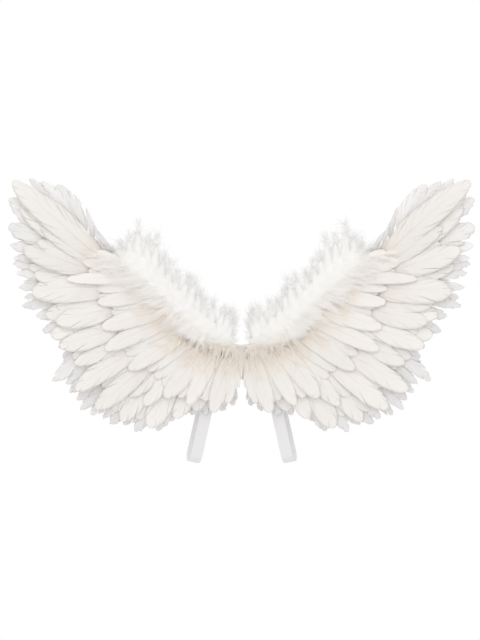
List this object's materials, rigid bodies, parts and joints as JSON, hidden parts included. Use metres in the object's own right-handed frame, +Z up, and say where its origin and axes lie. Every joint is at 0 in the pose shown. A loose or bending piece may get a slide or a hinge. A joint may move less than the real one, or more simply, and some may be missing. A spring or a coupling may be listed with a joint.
{
  "type": "feather costume wings",
  "caption": "Costume angel wings of layered white feathers on a ribbon-wrapped wire bow, with fluffy marabou along the inner leading edges and elastic arm loops behind.",
  "frame": {"origin": "rear of the bow at its middle, where it lies against the wearer's back", "axes": "+X to the wearer's right, +Y towards the wearer, +Z up"},
  "size_m": [0.606, 0.0703, 0.3743],
  "materials": {
    "ribbon": "cream ribbon wound round a wire",
    "felt": "white felt",
    "under_feather": "thin white feather with frayed barbs",
    "flight_feather": "off-white feather with fine barbs",
    "covert_feather": "off-white feather with a smooth vane",
    "marabou": "white marabou down",
    "elastic": "white ribbed elastic"
  },
  "bodies": {
    "root": {"frame_bow": "ribbon", "left_backing": "felt", "right_backing": "felt", "left_under_feathers": "under_feather", "right_under_feathers": "under_feather", "left_lower_flight_feathers": "flight_feather", "right_lower_flight_feathers": "flight_feather", "left_upper_flight_feathers": "flight_feather", "right_upper_flight_feathers": "flight_feather", "left_covert_feathers": "covert_feather", "right_covert_feathers": "covert_feather", "left_marabou_trim": "marabou", "right_marabou_trim": "marabou", "left_strap": "elastic", "right_strap": "elastic"}
  },
  "joints": []
}
